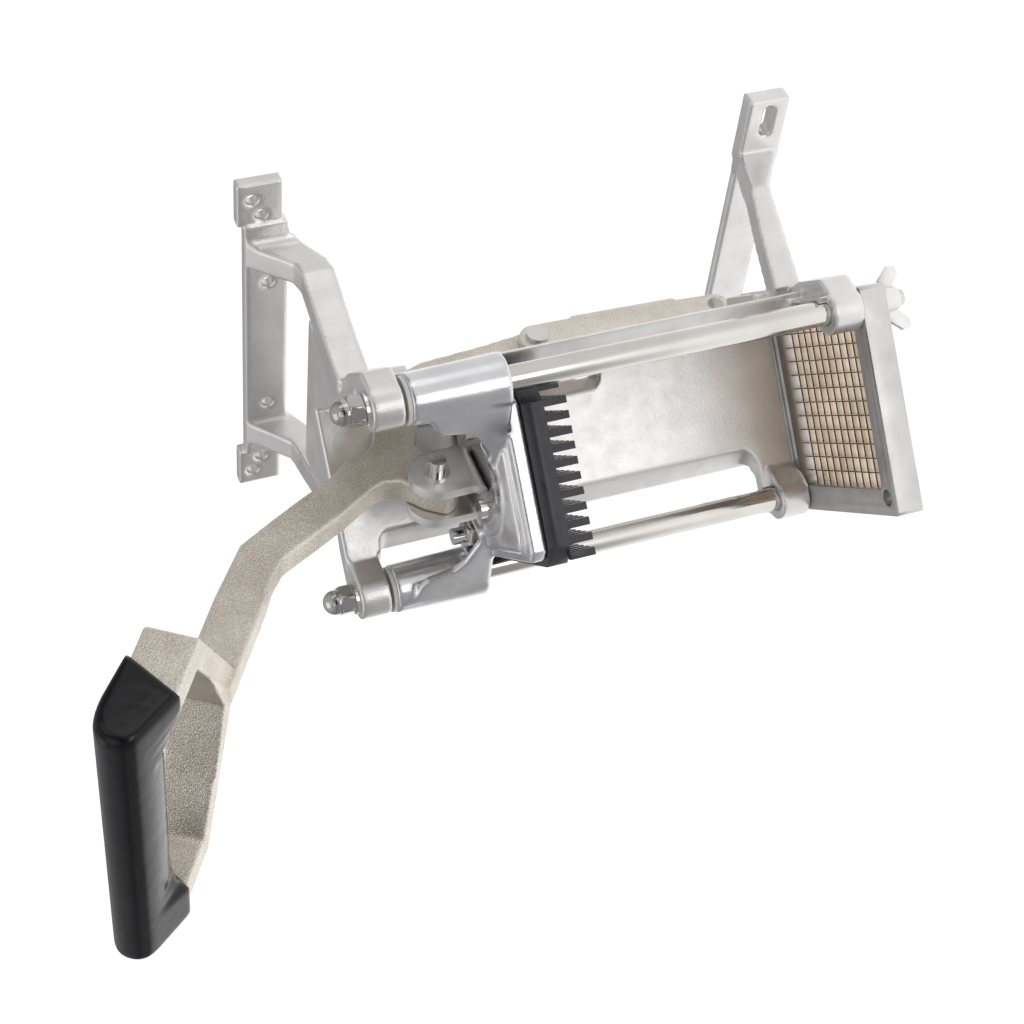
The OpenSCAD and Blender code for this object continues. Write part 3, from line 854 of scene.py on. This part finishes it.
def add_floor():
    """A wide pale floor that glows by itself."""
    bm = bmesh.new()
    bmesh.ops.create_grid(bm, x_segments=1, y_segments=1, size=FLOOR_HALF)
    floor = new_object("floor", bm)
    floor.location.z = FLOOR_Z
    g = Graph("pale_floor")
    g.shader.inputs["Base Color"].default_value = rgba(FLOOR_GREY, FLOOR_GREY, FLOOR_GREY)
    g.shader.inputs["Roughness"].default_value = 0.9
    g.shader.inputs["Specular IOR Level"].default_value = 0.1
    g.shader.inputs["Emission Color"].default_value = rgba(1, 1, 1)
    g.feed("Emission Strength", floor_glow(g))
    floor.data.materials.append(g.material)


def paint_sky(tree):
    """A soft box overhead, a dimmer band near the horizon, and a dark patch where the room is."""
    place = tree.nodes.new("ShaderNodeTexCoord").outputs["Generated"]
    split = tree.nodes.new("ShaderNodeSeparateXYZ")
    tree.links.new(place, split.inputs[0])
    rise = tree.nodes.new("ShaderNodeValToRGB")
    for element, at, value in zip(rise.color_ramp.elements, SKY_HEIGHTS, SKY_LEVELS):
        element.position = at
        element.color = rgba(value, value, value * SKY_BLUE)
    tree.links.new(split.outputs["Z"], rise.inputs["Fac"])
    facing = tree.nodes.new("ShaderNodeVectorMath")
    facing.operation = "DOT_PRODUCT"
    facing.inputs[1].default_value = Vector(ROOM_WAY).normalized()
    tree.links.new(place, facing.inputs[0])
    patch = tree.nodes.new("ShaderNodeMapRange")
    near, far = (math.cos(math.radians(angle)) for angle in ROOM_SPREAD)
    fading(patch, far, near, ROOM_LEVEL)
    tree.links.new(facing.outputs["Value"], patch.inputs["Value"])
    sky = tree.nodes["Background"]
    tree.links.new(rise.outputs["Color"], sky.inputs["Color"])
    tree.links.new(patch.outputs["Result"], sky.inputs["Strength"])


def add_studio():
    """Floor, sky and lamps."""
    add_floor()
    world = bpy.data.worlds.new("studio")
    bpy.context.scene.world = world
    world.use_nodes = True
    paint_sky(world.node_tree)
    for light in LIGHTS:
        area_light(*light)
    bpy.context.scene.view_settings.view_transform = "Standard"


add_camera()
add_studio()
